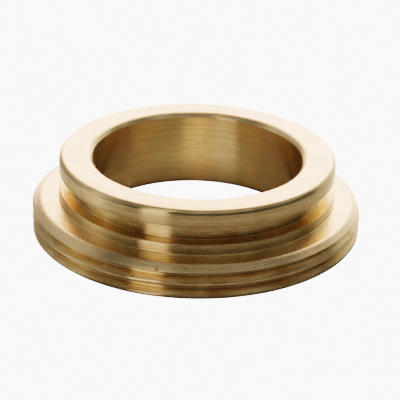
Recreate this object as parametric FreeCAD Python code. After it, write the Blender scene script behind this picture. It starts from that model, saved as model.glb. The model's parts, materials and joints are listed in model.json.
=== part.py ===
import FreeCAD, Part
import math
import os

# Cartridge retaining nut: one ring turned from brass bar, with a threaded flange, a plain land, an
# O-ring groove and a collar. Millimetres, +Z up, bore on the Z axis, pressing face on Z = 0.

# Bore, which lets the cartridge's stem through
bore_diameter = 24.2
bore_top_chamfer = 0.5
bore_rim_easing = 0.35
bore_bottom_chamfer = 0.08

# Collar at the top, and the land of the same diameter below the groove
overall_height = 9.0
collar_diameter = 31.8
collar_thickness = 1.9
collar_top_easing = 0.6

# O-ring groove between collar and land
groove_width = 2.1
groove_diameter = 29.0
land_lip_chamfer = 0.08
collar_lip_chamfer = 0.05

# Flange with a right-handed metric fine thread
flange_height = 3.8
thread_diameter = 38.0
thread_pitch = 1.5
thread_angle = 60.0
thread_start_angle = 4.0
flange_bottom_chamfer = 0.15

# Lead-in above the thread, turned a little deeper than the thread's root
lead_in_height = 0.65
lead_in_below_root = 0.17
lead_in_top_easing = 0.25

# Width of the slope that the tool's nose leaves in every inside corner
tool_nose_width = 0.12

# Proportions of the thread, as shares of the pitch: its crests are turned flatter than a standard thread's
crest_flat_share = 0.225
thread_depth_share = 0.54

# Number of flats that an eased edge is made of, and that a plain chamfer is made of
eased = 3
plain = 1

# Heights and radii worked out from the sizes above
bore_radius = bore_diameter / 2
collar_radius = collar_diameter / 2
groove_radius = groove_diameter / 2
groove_top = overall_height - collar_thickness
groove_bottom = groove_top - groove_width
crest_radius = thread_diameter / 2
thread_depth = thread_depth_share * thread_pitch
root_radius = crest_radius - thread_depth

# Angle from the blank's seam to the start of the thread, kept apart so that their edges never coincide
seam_to_thread_angle = 180.0

# Z axis, about which everything is turned
axis_point = FreeCAD.Vector(0, 0, 0)
axis_direction = FreeCAD.Vector(0, 0, 1)


def point(radius, height):
    """A point of the section, which lies in the XZ plane."""
    return FreeCAD.Vector(radius, 0, height)


def turned_outline():
    """Corners of the section, how far each is cut back and in how many flats, from the bore's lower edge."""
    return [
        (point(bore_radius, 0), bore_bottom_chamfer, plain),
        (point(crest_radius, 0), flange_bottom_chamfer, plain),
        (point(crest_radius, flange_height - lead_in_height), 0, plain),
        (point(root_radius - lead_in_below_root, flange_height), lead_in_top_easing, eased),
        (point(collar_radius, flange_height), tool_nose_width, plain),
        (point(collar_radius, groove_bottom), land_lip_chamfer, plain),
        (point(groove_radius, groove_bottom), tool_nose_width, plain),
        (point(groove_radius, groove_top), tool_nose_width, plain),
        (point(collar_radius, groove_top), collar_lip_chamfer, plain),
        (point(collar_radius, overall_height), collar_top_easing, eased),
        (point(bore_radius + bore_top_chamfer, overall_height), bore_rim_easing, eased),
        (point(bore_radius, overall_height - bore_top_chamfer), 0, plain),
    ]


def turned_blank():
    """The ring before its thread is cut: the section turned once round the Z axis."""
    corners = turned_outline()
    path = []
    for number, (tip, cut, flats) in enumerate(corners):
        before = corners[number - 1][0]
        after = corners[(number + 1) % len(corners)][0]
        start = tip + (before - tip).normalize() * cut
        end = tip + (after - tip).normalize() * cut
        if cut == 0:
            path.append(tip)
            continue
        for step in range(flats + 1):
            share = step / flats
            path.append(start * (1 - share) ** 2 + tip * 2 * share * (1 - share) + end * share ** 2)
    section = Part.Face(Part.makePolygon(path + path[:1]))
    return section.revolve(axis_point, axis_direction, 360)


def thread_groove():
    """The helical groove between the thread's crests, running out past both faces of the flange."""
    half_mouth = thread_pitch * (1 - crest_flat_share) / 2
    half_root = half_mouth - thread_depth * math.tan(math.radians(thread_angle / 2))
    outside = crest_radius + thread_depth
    tooth = Part.makePolygon([
        point(root_radius, -half_root),
        point(crest_radius, -half_mouth),
        point(outside, -half_mouth),
        point(outside, half_mouth),
        point(crest_radius, half_mouth),
        point(root_radius, half_root),
        point(root_radius, -half_root),
    ])
    helix = Part.makeLongHelix(thread_pitch, flange_height + 2 * thread_pitch, crest_radius)
    groove = Part.Wire(helix.Edges).makePipeShell([tooth], True, True)
    groove.translate(FreeCAD.Vector(0, 0, -thread_pitch))
    groove.rotate(axis_point, axis_direction, seam_to_thread_angle)
    return groove


nut = turned_blank().cut(thread_groove()).Solids[0]
nut.rotate(axis_point, axis_direction, thread_start_angle - seam_to_thread_angle)
print("retaining_nut: valid", nut.isValid(), "volume", round(nut.Volume, 1), "faces", len(nut.Faces))

os.makedirs("parts", exist_ok=True)
nut.exportStep("parts/retaining_nut.step")
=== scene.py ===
# %% [markdown]
# # A cartridge retaining nut in turned brass
# The nut is one ring, turned from brass bar: a threaded flange, a plain land, an O-ring groove and a
# collar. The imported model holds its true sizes, but as flat triangles, and bright turned metal shows
# every facet. So this lesson turns the ring again, much finer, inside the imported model's box.

# %% Load the frame
import json
import math

import bmesh
import bpy
from mathutils import Matrix, Quaternion, Vector, noise


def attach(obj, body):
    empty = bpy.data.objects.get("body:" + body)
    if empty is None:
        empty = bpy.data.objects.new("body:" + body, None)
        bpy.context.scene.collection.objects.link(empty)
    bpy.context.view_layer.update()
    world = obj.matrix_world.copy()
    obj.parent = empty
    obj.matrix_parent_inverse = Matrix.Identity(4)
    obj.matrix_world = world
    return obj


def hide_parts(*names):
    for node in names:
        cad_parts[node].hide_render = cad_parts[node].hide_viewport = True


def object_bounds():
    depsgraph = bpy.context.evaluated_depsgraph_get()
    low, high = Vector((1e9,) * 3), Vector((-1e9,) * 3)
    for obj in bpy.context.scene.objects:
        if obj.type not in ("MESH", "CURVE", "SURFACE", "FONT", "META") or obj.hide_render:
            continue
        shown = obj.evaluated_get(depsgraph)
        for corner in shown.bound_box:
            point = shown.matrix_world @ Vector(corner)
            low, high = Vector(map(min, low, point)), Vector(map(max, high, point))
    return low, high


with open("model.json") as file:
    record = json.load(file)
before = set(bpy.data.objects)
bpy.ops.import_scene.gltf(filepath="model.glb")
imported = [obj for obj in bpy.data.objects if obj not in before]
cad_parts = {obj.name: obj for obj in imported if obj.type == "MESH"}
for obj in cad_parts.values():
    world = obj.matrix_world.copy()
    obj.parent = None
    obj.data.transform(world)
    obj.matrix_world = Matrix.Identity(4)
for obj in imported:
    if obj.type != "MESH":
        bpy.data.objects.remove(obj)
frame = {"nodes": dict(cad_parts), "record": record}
cad_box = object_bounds()
MM = 0.001


def in_millimetres(box):
    """The two corners of a box, rounded for printing."""
    return [tuple(round(length / MM, 2) for length in corner) for corner in box]


print("packed:", sorted(frame["nodes"]), "in a box of", in_millimetres(cad_box), "mm")

# %% [markdown]
# ## Sizes
# Everything is in metres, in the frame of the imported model: the bore runs along Z and the nut stands on
# Z = 0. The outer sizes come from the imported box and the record's mounts, so that they can't drift away
# from the solid. The others are the tool settings of the real nut.

# %% Sizes of the ring
mount = {entry["name"]: entry["dims"] for entry in frame["record"]["mounts"]}
overall_height = cad_box[1].z
crest_radius = min(cad_box[1].x, cad_box[1].y, -cad_box[0].x, -cad_box[0].y)
bore_radius = mount["bore"]["r_mm"] * MM
collar_radius = mount["collar"]["r_mm"] * MM

collar_thickness = 1.9 * MM
groove_width = 2.1 * MM
groove_radius = 14.5 * MM
groove_top = overall_height - collar_thickness
groove_bottom = groove_top - groove_width

flange_height = 3.8 * MM
thread_pitch = 1.5 * MM
thread_depth = 0.54 * thread_pitch
root_radius = crest_radius - thread_depth
lead_in_height = 0.65 * MM
lead_in_below_root = 0.17 * MM
lead_in_radius = root_radius - lead_in_below_root
print("crest radius", round(crest_radius / MM, 3), "root radius", round(root_radius / MM, 3), "mm")

# %% [markdown]
# ## The turned ring
# A lathe makes a shape by turning the work past a tool, so the mesh is made the same way: the section is
# drawn once in the XZ plane and spun round the Z axis. Only twelve corners are drawn. Bevelling the
# vertices then gives each corner what the tools leave there: chamfers, the round of the tool's nose in
# the inner corners, the easing of the upper edges that hands touch, and last a hair-thin edge break that
# catches the light.

# %% Draw the section
bore_top_chamfer = 0.5 * MM
section_corners = {
    "bore_bottom": (bore_radius, 0),
    "crest_bottom": (crest_radius, 0),
    "crest_top": (crest_radius, flange_height - lead_in_height),
    "lead_in_top": (lead_in_radius, flange_height),
    "land_root": (collar_radius, flange_height),
    "land_lip": (collar_radius, groove_bottom),
    "groove_low": (groove_radius, groove_bottom),
    "groove_high": (groove_radius, groove_top),
    "collar_lip": (collar_radius, groove_top),
    "collar_top": (collar_radius, overall_height),
    "bore_rim": (bore_radius + bore_top_chamfer, overall_height),
    "bore_top": (bore_radius, overall_height - bore_top_chamfer),
}


def draw_outline(mesh, points):
    """Joins points, given as radius and height, into a closed outline in the XZ plane."""
    corners = [mesh.verts.new((radius, 0, height)) for radius, height in points]
    for start, end in zip(corners, corners[1:] + corners[:1]):
        mesh.edges.new((start, end))
    return corners


ring = bmesh.new()
corner = dict(zip(section_corners, draw_outline(ring, section_corners.values())))
print("section drawn with", len(ring.verts), "corners")

# %% Finish the corners as the tools leave them
chamfers = {
    "crest_bottom": 0.15 * MM,
    "land_lip": 0.08 * MM,
}
eased_edges = {
    "collar_top": 0.6 * MM,
    "bore_rim": 0.35 * MM,
    "lead_in_top": 0.25 * MM,
}
tool_nose_radius = 0.12 * MM
tool_nose_corners = ["land_root", "groove_low", "groove_high"]
edge_break = 0.04 * MM


def round_corners(mesh, corners, size, segments):
    """Cuts corners of an outline back by size: straight with one segment, round with more."""
    bmesh.ops.bevel(mesh, geom=corners, offset=size, segments=segments, profile=0.5,
                    affect="VERTICES", material=-1)


for name, size in chamfers.items():
    round_corners(ring, [corner.pop(name)], size, segments=1)
nose = [corner.pop(name) for name in tool_nose_corners]
eased = [corner.pop(name) for name in eased_edges]
sharp = [vert for vert in ring.verts if vert not in nose + eased]
round_corners(ring, sharp, edge_break, segments=3)
round_corners(ring, nose, tool_nose_radius, segments=6)
for vert, size in zip(eased, eased_edges.values()):
    round_corners(ring, [vert], size, segments=8)
print("section finished with", len(ring.verts), "points")

# %% Spin it round the axis
slices_per_turn = 12
steps_per_slice = 30
merge_distance = 0.001 * MM
axis = Vector((0, 0, 1))


def spin(mesh, turns, rise):
    """Spins an outline round the Z axis, up by rise in every turn: first one slice, then its copies."""
    slice_angle = math.tau / slices_per_turn
    slice_rise = axis * rise / slices_per_turn
    bmesh.ops.spin(mesh, geom=mesh.verts[:] + mesh.edges[:], cent=(0, 0, 0), axis=axis, angle=slice_angle,
                   dvec=slice_rise / steps_per_slice, steps=steps_per_slice)
    copies = turns * slices_per_turn - 1
    bmesh.ops.spin(mesh, geom=mesh.verts[:] + mesh.edges[:] + mesh.faces[:], cent=(0, 0, 0), axis=axis,
                   angle=slice_angle * copies, dvec=slice_rise, steps=copies, use_duplicate=True)
    bmesh.ops.remove_doubles(mesh, verts=mesh.verts, dist=merge_distance)


def to_object(mesh, name):
    """Closes a bmesh into an object of that name, with its faces pointing outwards."""
    bmesh.ops.recalc_face_normals(mesh, faces=mesh.faces)
    data = bpy.data.meshes.new(name)
    mesh.to_mesh(data)
    mesh.free()
    made = bpy.data.objects.new(name, data)
    bpy.context.scene.collection.objects.link(made)
    return made


spin(ring, turns=1, rise=0)
nut = to_object(ring, "turned_ring")
print("ring spun to", len(nut.data.polygons), "faces")

# %% [markdown]
# ## The thread
# The thread is what takes skill on the real nut. It is cut with a pointed tool that moves up by one pitch
# in each turn. A displacement in the material would only fake it, so the groove is cut for real: the
# tool's outline is spun with a rise, which makes a helix, and a Boolean takes it away from the ring. The
# helix starts below the flange and ends above it, so the groove runs out through both faces.

# %% Sizes of the groove
thread_start_angle = 4.0
flank_angle = math.radians(30)
crest_flat = 0.225 * thread_pitch
half_mouth = (thread_pitch - crest_flat) / 2
half_root = half_mouth - thread_depth * math.tan(flank_angle)
root_round = 0.1 * MM
crest_round = 0.08 * MM
crest_cut = 0.8 * crest_round
crest_clearance = 0.003 * MM
outside_radius = crest_radius + 0.5 * MM
start_height = -thread_pitch * (1 + thread_start_angle / 360)
groove_turns = math.ceil((flange_height + thread_pitch - start_height) / thread_pitch)
widths = [round(2 * half / MM, 3) for half in (half_mouth, half_root)]
print("groove", widths[0], "mm wide at its mouth and", widths[1], "mm at its root")

# %% Spin the groove's outline up a helix
groove = bmesh.new()
tooth = draw_outline(groove, [
    (root_radius, start_height - half_root),
    (crest_radius + crest_clearance, start_height - half_mouth),
    (crest_radius + 2 * crest_clearance, start_height - half_mouth - crest_round),
    (outside_radius, start_height - half_mouth - crest_round),
    (outside_radius, start_height + half_mouth + crest_round),
    (crest_radius + 2 * crest_clearance, start_height + half_mouth + crest_round),
    (crest_radius + crest_clearance, start_height + half_mouth),
    (root_radius, start_height + half_root),
])
root_corners = [tooth[0], tooth[-1]]
crest_corners = [tooth[1], tooth[-2]]
round_corners(groove, root_corners, root_round, segments=4)
round_corners(groove, crest_corners, crest_cut, segments=4)
spin(groove, groove_turns, thread_pitch)
ends = [edge for edge in groove.edges if edge.is_boundary]
bmesh.ops.holes_fill(groove, edges=ends, sides=0)
cutter = to_object(groove, "thread_groove")
print("groove of", groove_turns, "turns with", len(cutter.data.polygons), "faces")

# %% Cut the groove into the flange
def cut_away(body, cutter):
    """Takes the cutter's volume out of a body, and the cutter out of the scene."""
    cut = body.modifiers.new("cut_away", "BOOLEAN")
    cut.operation = "DIFFERENCE"
    cut.solver = "MANIFOLD"
    cut.object = cutter
    cut_mesh = bpy.data.meshes.new_from_object(body.evaluated_get(bpy.context.evaluated_depsgraph_get()))
    body.modifiers.clear()
    body.data = cut_mesh
    bpy.data.objects.remove(cutter)


cut_away(nut, cutter)
print("threaded ring has", len(nut.data.polygons), "faces")

# %% [markdown]
# ## Two nicks
# Something hard has knocked against the nut: two small nicks sit side by side on the lead-in. Bump in the
# material could draw them, but a real dent also breaks the light on its rim. So each one is pressed in
# with a small ball that is drawn out along the ring, as by a glancing knock, and made uneven. Its turn,
# from the camera to the right, and the tilt of the knock are in degrees.

# %% Press the nicks into the lead-in
nicks = [
    dict(turn=-12.0, height=3.3 * MM, size=0.17 * MM, depth=0.085 * MM, tilt=25, stretch=1.5),
    dict(turn=-13.2, height=3.5 * MM, size=0.12 * MM, depth=0.05 * MM, tilt=-15, stretch=1.7),
]
camera_side = -90
unevenness = 0.35
lump_scale = 1.3
lead_in_width = crest_radius - lead_in_radius

balls = bmesh.new()
for nick in nicks:
    turn = Quaternion(axis, math.radians(camera_side + nick["turn"]))
    share = (flange_height - nick["height"]) / lead_in_height
    dent = turn @ Vector((lead_in_radius + share * lead_in_width, 0, nick["height"]))
    outwards = turn @ Vector((lead_in_height, 0, lead_in_width)).normalized()
    along_knock = Quaternion(outwards, math.radians(nick["tilt"])) @ turn @ Vector((0, 1, 0))
    ball = bmesh.ops.create_icosphere(balls, subdivisions=3, radius=nick["size"])["verts"]
    for vert in ball:
        vert.co *= 1 + unevenness * noise.noise(vert.co / nick["size"] * lump_scale)
    placing = (Matrix.Translation(dent + outwards * (nick["size"] - nick["depth"]))
               @ Matrix.Scale(nick["stretch"], 4, along_knock))
    bmesh.ops.transform(balls, verts=ball, matrix=placing)
cut_away(nut, to_object(balls, "nick_balls"))
print("nicked ring has", len(nut.data.polygons), "faces")

# %% [markdown]
# ## Shading
# Smooth shading hides the steps of the spin, but it would also bend the light on the flat faces near
# their edges. So edges with a clear turn stay sharp, and where normals are averaged, large faces weigh
# more than narrow ones. Then the ring rides on the nut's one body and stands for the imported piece.

# %% Shade the ring and hand it over
sharp_angle = math.radians(25)
nut.data.shade_smooth()
nut.data.set_sharp_from_angle(angle=sharp_angle)
weighted = nut.modifiers.new("flat_faces_stay_flat", "WEIGHTED_NORMAL")
weighted.keep_sharp = True

nut.name = "retaining_nut_turned"
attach(nut, "root")
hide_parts("retaining_nut")
sharp_edges = sum(edge.use_edge_sharp for edge in nut.data.edges)
print("the turned ring, with", sharp_edges, "sharp edges, stands for retaining_nut")

# %% [markdown]
# ## Tool marks
# The nut is bare brass, as the tools left it. A tool draws fine rings round the axis, and handling adds
# shorter streaks, cloudy tarnish and a few dark specks. Pictures of such marks would show seams on a
# ring. Noise that is drawn out round the axis follows every surface without one. All the finishes need
# it, so it is one node group, which gives a colour, a roughness and a height.

# %% Sockets of the tool marks
mark_inputs = {"Fresh": "Color", "Tarnished": "Color", "Dirt": "Color", "Tarnish": "Float",
               "Shiny": "Float", "Dull": "Float", "Feed": "Float"}
mark_outputs = {"Color": "Color", "Roughness": "Float", "Height": "Float"}

marks = bpy.data.node_groups.new("tool_marks", "ShaderNodeTree")
for side, sockets in {"INPUT": mark_inputs, "OUTPUT": mark_outputs}.items():
    for name, kind in sockets.items():
        marks.interface.new_socket(name, in_out=side, socket_type="NodeSocket" + kind)
print("tool_marks takes", list(mark_inputs), "and gives", list(mark_outputs))

# %% Where a point lies on the ring, in millimetres
def add_node(tree, kind, inputs, **settings):
    """Adds a shader node with its settings, and sets or links its inputs."""
    node = tree.nodes.new("ShaderNode" + kind)
    for name, value in settings.items():
        setattr(node, name, value)
    for socket, value in inputs.items():
        if isinstance(value, bpy.types.NodeSocket):
            tree.links.new(value, node.inputs[socket])
        else:
            node.inputs[socket].default_value = value
    return node


given = marks.nodes.new("NodeGroupInput").outputs
place = add_node(marks, "TexCoord", {}).outputs["Object"]
in_mm = add_node(marks, "VectorMath", {0: place, "Scale": 1 / MM}, operation="SCALE").outputs["Vector"]
x, y, z = add_node(marks, "SeparateXYZ", {"Vector": in_mm}).outputs
sideways = add_node(marks, "CombineXYZ", {"X": x, "Y": y}).outputs["Vector"]
radius = add_node(marks, "VectorMath", {0: sideways}, operation="LENGTH").outputs["Value"]
print("a point's place takes", len(marks.nodes), "nodes")

# %% Rings and streaks round the axis
ring_turn_share = 0.012
streak_turn_share = 0.7
streak_feed_share = 0.6
streak_share = 0.5
fine_line_share = 0.65


def calculate(tree, operation, *values):
    """One step of arithmetic on numbers or sockets."""
    return add_node(tree, "Math", dict(enumerate(values)), operation=operation).outputs[0]


def drawn_noise(turn_share, width, detail):
    """Noise drawn out round the axis: turn_share of its speed round the ring, width in mm across it."""
    drawn = add_node(marks, "CombineXYZ", {
        "X": calculate(marks, "MULTIPLY", x, turn_share),
        "Y": calculate(marks, "MULTIPLY", y, turn_share),
        "Z": calculate(marks, "DIVIDE", radius, width),
    }).outputs["Vector"]
    along_axis = calculate(marks, "DIVIDE", z, width)
    grain = add_node(marks, "TexNoise", {"Vector": drawn, "W": along_axis, "Scale": 1.0, "Detail": detail,
                                         "Roughness": fine_line_share}, noise_dimensions="4D")
    return grain.outputs["Fac"]


rings = drawn_noise(ring_turn_share, given["Feed"], detail=4.0)
streak_width = calculate(marks, "MULTIPLY", given["Feed"], streak_feed_share)
streaks = drawn_noise(streak_turn_share, streak_width, detail=2.0)
lines = add_node(marks, "Mix", {0: streak_share, 2: rings, 3: streaks}).outputs[0]
print("with rings and streaks there are", len(marks.nodes), "nodes")

# %% Tarnish, specks and roughness
patches_per_mm = 0.4
specks_per_mm = 2.2
line_tarnish = 0.8
patch_tarnish = 0.4
tarnish_limits = (0.42, 0.8)
speck_limits = (0.76, 0.86)
line_limits = (0.35, 0.65)


def fade(tree, value, start, end):
    """Rises smoothly from 0 at start to 1 at end."""
    return add_node(tree, "MapRange", {"Value": value, "From Min": start, "From Max": end},
                    interpolation_type="SMOOTHSTEP").outputs["Result"]


def blend(tree, factor, first, second, blend_type="MIX"):
    """Mixes two colours, or adds the second one to the first with ADD."""
    return add_node(tree, "Mix", {0: factor, 6: first, 7: second}, data_type="RGBA",
                    blend_type=blend_type).outputs[2]


def even_noise(per_mm, detail):
    """Noise that is as long as it is wide."""
    grain = add_node(marks, "TexNoise", {"Vector": in_mm, "Scale": per_mm, "Detail": detail})
    return grain.outputs["Fac"]


patches = even_noise(patches_per_mm, detail=5.0)
specks = even_noise(specks_per_mm, detail=1.0)
cloud = calculate(marks, "ADD", calculate(marks, "MULTIPLY", lines, line_tarnish),
                  calculate(marks, "MULTIPLY", patches, patch_tarnish))
amount = calculate(marks, "MULTIPLY", fade(marks, cloud, *tarnish_limits), given["Tarnish"])
spots = calculate(marks, "MULTIPLY", fade(marks, specks, *speck_limits), given["Tarnish"])
metal = blend(marks, amount, given["Fresh"], given["Tarnished"])
rough = add_node(marks, "MapRange", {
    "Value": lines,
    "From Min": line_limits[0],
    "From Max": line_limits[1],
    "To Min": given["Shiny"],
    "To Max": given["Dull"],
}).outputs["Result"]
results = {"Color": blend(marks, spots, metal, given["Dirt"]), "Roughness": rough, "Height": lines}
finished = marks.nodes.new("NodeGroupOutput")
for name, socket in results.items():
    marks.links.new(socket, finished.inputs[name])
print("tool_marks has", len(marks.nodes), "nodes")

# %% [markdown]
# ## Brass finishes
# The rings smear every reflection across them, so the shine is anisotropic: sharp round the ring, spread
# along the section. The group is placed in five materials with values of their own, because each tool
# leaves another surface: on the outside, in the bore, in the O-ring groove, on the lead-in and in the
# thread. The O-ring groove and the thread are made darker than the outside, with more tarnish and
# darker colours.

# %% Colours of the brass
brass_colour = (0.88, 0.73, 0.47)
# The O-ring groove and the thread are given darker colours than the outside.
tarnish_colour = (0.68, 0.50, 0.26)
groove_darker_colour = (0.64, 0.455, 0.215)
thread_darker_colour = (0.62, 0.43, 0.2)
dirt_colour = (0.34, 0.23, 0.14)


def scaled(colour, strength):
    """A colour for a node's socket, brightened or dimmed."""
    return (*[channel * strength for channel in colour], 1)


print("fresh brass", brass_colour, "tarnished", tarnish_colour, groove_darker_colour, thread_darker_colour)

# %% The five materials
quarter_turn = 0.25


def brass_finish(name, tarnish, shiny, dull, feed, mark_depth, tarnished=tarnish_colour):
    """Brass with one tool's marks: amount of tarnish, roughness, and the lines' width in mm and depth."""
    material = bpy.data.materials.new(name)
    material.use_nodes = True
    tree = material.node_tree
    group = tree.nodes.new("ShaderNodeGroup")
    group.node_tree = marks
    for socket, value in {"Fresh": scaled(brass_colour, 1), "Tarnished": scaled(tarnished, 1),
                          "Dirt": scaled(dirt_colour, 1), "Tarnish": tarnish,
                          "Shiny": shiny, "Dull": dull, "Feed": feed}.items():
        group.inputs[socket].default_value = value
    bump = add_node(tree, "Bump", {"Height": group.outputs["Height"], "Distance": mark_depth})
    place = add_node(tree, "TexCoord", {}).outputs["Object"]
    around = add_node(tree, "VectorMath", {0: axis, 1: place}, operation="CROSS_PRODUCT")
    shader = tree.nodes["Principled BSDF"]
    shader.inputs["Metallic"].default_value = 1
    shader.inputs["Anisotropic"].default_value = 1
    shader.inputs["Anisotropic Rotation"].default_value = quarter_turn
    for socket, source in {"Base Color": group.outputs["Color"], "Roughness": group.outputs["Roughness"],
                           "Normal": bump.outputs["Normal"], "Tangent": around.outputs["Vector"]}.items():
        tree.links.new(source, shader.inputs[socket])
    return material


# The O-ring groove and the thread are made darker, with more tarnish and darker colours.
finishes = [
    brass_finish("outside_brass", tarnish=0.8, shiny=0.14, dull=0.29, feed=0.2, mark_depth=0.022 * MM),
    brass_finish("bored_brass", tarnish=0.6, shiny=0.19, dull=0.25, feed=0.25, mark_depth=0.004 * MM),
    brass_finish("grooved_brass", tarnish=1.3, shiny=0.17, dull=0.3, feed=0.2, mark_depth=0.012 * MM,
                 tarnished=groove_darker_colour),
    brass_finish("lead_in_brass", tarnish=0.4, shiny=0.16, dull=0.34, feed=0.2, mark_depth=0.022 * MM),
    brass_finish("threaded_brass", tarnish=1.2, shiny=0.15, dull=0.3, feed=0.2, mark_depth=0.015 * MM,
                 tarnished=thread_darker_colour),
]
print("finishes:", [finish.name for finish in finishes])

# %% Each face gets the finish of its tool
outside, bored, grooved, lead_in, threaded = range(len(finishes))


def finish_of(radius, height):
    """Number of the finish that belongs to a face at that radius and height."""
    beside_groove = groove_bottom - edge_break < height < groove_top + edge_break
    beside_flange = edge_break < height < flange_height - edge_break
    if radius < bore_radius + edge_break:
        return bored
    if beside_groove and radius < collar_radius - edge_break:
        return grooved
    if beside_flange and radius > lead_in_radius:
        return lead_in if height > flange_height - lead_in_height else threaded
    return outside


nut.data.materials.clear()
for finish in finishes:
    nut.data.materials.append(finish)
for face in nut.data.polygons:
    face.material_index = finish_of(face.center.xy.length, face.center.z)
used = [face.material_index for face in nut.data.polygons]
print("faces of each finish:", [used.count(number) for number in range(len(finishes))])

# %% [markdown]
# ## The studio
# Bright metal has hardly a colour of its own: it shows what stands round it. Area lamps could light it,
# but each would show its hard outline. So the studio is a sky of panels with soft edges, as a
# photographer would set them: a bright backdrop, a tall softbox to the left of the camera, weaker panels
# and walls on both sides, a dim one in front, the ceiling and the glow of the table. Each is given by the
# azimuths, counted from the camera to the right, and the elevations that it lies between, and by the
# width of its edges, all in degrees.

# %% Panels round the nut
warm_light = (1, 0.79, 0.66)
rosy_light = (1, 0.55, 0.49)
table_light = (1, 0.8, 0.58)
sky_light = (1, 0.92, 0.8)
ambient_light = (0.064, 0.063, 0.056)
panels = {
    "backdrop": dict(across=(154, 196), up=(-60, 72), edge=(45, 30), glow=scaled(warm_light, 1.4)),
    "backdrop_glow": dict(across=(160, 198), up=(-8, 46), edge=(32, 24), glow=scaled(rosy_light, 3.8)),
    "softbox": dict(across=(-43.5, -22.5), up=(-22, 30), edge=(1.5, 20), glow=scaled(warm_light, 1.1)),
    "softbox_top": dict(across=(-45, -23), up=(30, 70), edge=(8, 14), glow=scaled(warm_light, 0.6)),
    "side_panel": dict(across=(-101, -81), up=(-34, 38), edge=(20, 16), glow=scaled(warm_light, 0.36)),
    "side_wall": dict(across=(-160, -63), up=(-30, 55), edge=(40, 10), glow=scaled(sky_light, 0.19)),
    "side_top": dict(across=(-150, -92), up=(26, 55), edge=(24, 10), glow=scaled(sky_light, 0.13)),
    "right_wall": dict(across=(122, 165), up=(-55, 34), edge=(50, 16), glow=scaled(sky_light, 0.2)),
    "right_panel": dict(across=(119, 165), up=(12, 36), edge=(18, 12), glow=scaled(sky_light, 0.34)),
    "right_backdrop": dict(across=(134, 165), up=(34, 56), edge=(8, 12), glow=scaled(sky_light, 0.54)),
    "right_low": dict(across=(112, 156), up=(-12, 14), edge=(30, 12), glow=scaled(sky_light, 0.4)),
    "right_top": dict(across=(70, 118), up=(32, 48), edge=(20, 8), glow=scaled(sky_light, 0.3)),
    "table": dict(across=(-180, 180), up=(-46, -12), edge=(1, 14), glow=scaled(table_light, 0.29)),
    "ceiling": dict(across=(-76, 80), up=(52, 68), edge=(46, 10), glow=scaled(sky_light, 0.46)),
    "front_panel": dict(across=(-12, 70), up=(43, 54), edge=(24, 8), glow=scaled(sky_light, 0.25)),
}
print("panels:", list(panels))

# %% Azimuth and elevation in the sky
def azimuth_of(tree, right, back):
    """The angle in degrees, from the camera to the right, of a direction in the XY plane."""
    to_camera = calculate(tree, "MULTIPLY", back, -1)
    return calculate(tree, "DEGREES", calculate(tree, "ARCTAN2", right, to_camera))


world = bpy.data.worlds.new("studio")
bpy.context.scene.world = world
world.use_nodes = True
sky = world.node_tree
direction = add_node(sky, "TexCoord", {}).outputs["Generated"]
right, back, upwards = add_node(sky, "SeparateXYZ", {"Vector": direction}).outputs
azimuth = azimuth_of(sky, right, back)
elevation = calculate(sky, "DEGREES", calculate(sky, "ARCSINE", upwards))
print("the two angles take", len(sky.nodes), "nodes")

# %% Sky made of the panels
paper_white = 4


def within(tree, angle, limits, edge):
    """1 between two angles and 0 outside them, with a soft edge of that width."""
    middle = sum(limits) / 2
    half = (limits[1] - limits[0]) / 2
    away = calculate(tree, "WRAP", calculate(tree, "SUBTRACT", angle, middle), 180, -180)
    return fade(tree, calculate(tree, "ABSOLUTE", away), half + edge / 2, half - edge / 2)


seen_by_metal = scaled(ambient_light, 1)
for panel in panels.values():
    share = calculate(sky, "MULTIPLY", within(sky, azimuth, panel["across"], panel["edge"][0]),
                      within(sky, elevation, panel["up"], panel["edge"][1]))
    seen_by_metal = blend(sky, share, seen_by_metal, panel["glow"], blend_type="ADD")
camera_ray = add_node(sky, "LightPath", {}).outputs["Is Camera Ray"]
shown = blend(sky, camera_ray, seen_by_metal, scaled((1, 1, 1), paper_white))
sky.links.new(shown, sky.nodes["Background"].inputs["Color"])
print("sky of", len(sky.nodes), "nodes")

# %% [markdown]
# ## The paper
# The nut stands on white paper. In the photo the paper is so bright that it shows no shadow. A lit floor
# would show one, so this floor glows by itself, and the metal sees the panels through it.

# %% Paper floor
floor_half_width = 3


def glowing_paper(name, colour):
    """A plain finish that glows by itself, for things that belong to the studio."""
    paper = bpy.data.materials.new(name)
    paper.use_nodes = True
    shader = paper.node_tree.nodes["Principled BSDF"]
    shader.inputs["Base Color"].default_value = (0, 0, 0, 1)
    shader.inputs["Specular IOR Level"].default_value = 0
    shader.inputs["Emission Color"].default_value = colour
    shader.inputs["Emission Strength"].default_value = 1
    return paper


floor_mesh = bmesh.new()
bmesh.ops.create_grid(floor_mesh, x_segments=1, y_segments=1, size=floor_half_width)
floor = to_object(floor_mesh, "floor")
floor.data.materials.append(glowing_paper("paper_floor", scaled((1, 1, 1), paper_white)))
floor.visible_glossy = False
floor.visible_shadow = False
print("paper of", 2 * floor_half_width, "m a side")

# %% [markdown]
# The spot of paper inside the bore is different: it would be lit only through the bore, by light that
# has come off brass, and fans of softbox light would fall on it. So that light is painted on: the disc
# glows with painted golden bounce light and painted fans of softbox light. The bore's wall mirrors that
# spot, and only reflections can see it. A fan is given by its start and by its azimuths, as a panel.

# %% Fans of painted light in the bore
gold_light = (1, 0.77, 0.5)
back_start = (0.3 * MM, 6.5 * MM)
side_start = (-8.1 * MM, 9.0 * MM)
fans = [
    dict(start=back_start, across=(-60, 75), edge=60, glow=scaled(gold_light, 0.14)),
    dict(start=back_start, across=(-17, 14), edge=12, glow=scaled(gold_light, 0.41)),
    dict(start=back_start, across=(-44, -17), edge=8, glow=scaled(warm_light, 0.42)),
    dict(start=back_start, across=(-75, -44), edge=16, glow=scaled(gold_light, 0.05)),
    dict(start=side_start, across=(72, 84.5), edge=5, glow=scaled(gold_light, 0.08)),
]
print(len(fans), "fans of light")

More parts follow.
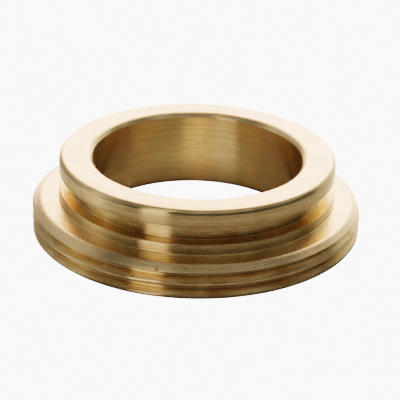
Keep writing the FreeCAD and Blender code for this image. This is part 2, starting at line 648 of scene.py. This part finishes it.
# %% Spot of painted bounce light in the bore
spot_radius = bore_radius + 0.1 * MM
spot_height = 0.02 * MM
spot_glow = scaled(gold_light, 0.16)
# Painted shade: the disc dims towards its rim, by the bore's wall.
painted_rim_shade = (bore_radius - 1.2 * MM, bore_radius - 0.2 * MM)
painted_rim_shade_glow = scaled(gold_light, 0.04)


def mirrored_disc(name, paper, radius, height, segments):
    """A disc of paper just above the floor, which only reflections can see."""
    mesh = bmesh.new()
    bmesh.ops.create_circle(mesh, cap_ends=True, segments=segments, radius=radius)
    bmesh.ops.translate(mesh, verts=mesh.verts, vec=(0, 0, height))
    disc = to_object(mesh, name)
    disc.data.materials.append(paper)
    disc.visible_camera = False
    disc.visible_shadow = False
    return disc


# The disc glows with painted golden bounce light, and the fans add painted softbox light on top.
painted_bounce = glowing_paper("painted_bounce_paper", spot_glow)
tree = painted_bounce.node_tree
place = add_node(tree, "TexCoord", {}).outputs["Object"]
right, back = add_node(tree, "SeparateXYZ", {"Vector": place}).outputs[:2]
glow = spot_glow
for fan in fans:
    start_right, start_back = fan["start"]
    turn = azimuth_of(tree, calculate(tree, "SUBTRACT", right, start_right),
                      calculate(tree, "SUBTRACT", back, start_back))
    share = within(tree, turn, fan["across"], fan["edge"])
    glow = blend(tree, share, glow, fan["glow"], blend_type="ADD")
from_axis = add_node(tree, "VectorMath", {0: place}, operation="LENGTH").outputs["Value"]
# Painted shade at the rim of the disc, by the bore's wall.
glow = blend(tree, fade(tree, from_axis, *painted_rim_shade), glow, painted_rim_shade_glow)
tree.links.new(glow, tree.nodes["Principled BSDF"].inputs["Emission Color"])
spot = mirrored_disc("painted_bounce_spot", painted_bounce, spot_radius, spot_height, segments=64)
print("golden spot of", round(2 * spot_radius / MM, 1), "mm")

# %% [markdown]
# Close to its foot the nut keeps the light off the paper. Only reflections see this narrow shade, and it
# keeps the lowest turn of the thread dark.

# %% Contact shade round the foot
shade_radius = crest_radius + 2.2 * MM
full_shade_radius = crest_radius + 0.4 * MM
shade_cover = 0.95
shade_height = 0.01 * MM
shade_glow = scaled(gold_light, 0.06)

shaded = glowing_paper("shaded_paper", shade_glow)
tree = shaded.node_tree
place = add_node(tree, "TexCoord", {}).outputs["Object"]
from_axis = add_node(tree, "VectorMath", {0: place}, operation="LENGTH").outputs["Value"]
cover = calculate(tree, "MULTIPLY", fade(tree, from_axis, shade_radius, full_shade_radius), shade_cover)
tree.links.new(cover, tree.nodes["Principled BSDF"].inputs["Alpha"])
foot = mirrored_disc("contact_shade", shaded, shade_radius, shade_height, segments=96)
print("shade reaches", round((shade_radius - crest_radius) / MM, 2), "mm past the thread")

# %% [markdown]
# ## The camera
# The photo was taken from a little above, with a long lens. Elevation, roll, distance and lens are fitted
# to the nut's rims in the photo, and the aim sets the nut off the middle as there. The view transform
# keeps detail in the bright top face as well as in the dark thread.

# %% Camera
camera_elevation = math.radians(25.68)
roll = Quaternion((0, 0, 1), math.radians(1.776))
distance = 181.5 * MM
lens = 139.07
aim_right = 0.514 * MM
aim_up = 2.712 * MM
nearest_seen = 10 * MM


def looking_along(line):
    """The camera's turn when it looks along a line, with the roll of the photo."""
    return line.to_track_quat("-Z", "Y") @ roll


camera_data = bpy.data.cameras.new("camera")
camera_data.lens = lens
camera_data.clip_start = nearest_seen
camera = bpy.data.objects.new("camera", camera_data)
bpy.context.scene.collection.objects.link(camera)
camera.location = (0, -distance * math.cos(camera_elevation), distance * math.sin(camera_elevation))
aim = looking_along(-camera.location) @ Vector((aim_right, aim_up, 0))
camera.rotation_mode = "QUATERNION"
camera.rotation_quaternion = looking_along(aim - camera.location)
bpy.context.scene.camera = camera
bpy.context.scene.view_settings.view_transform = "Filmic"
bpy.context.scene.view_settings.look = "High Contrast"
print("camera at", [round(length / MM, 1) for length in camera.location], "mm with a lens of", lens, "mm")
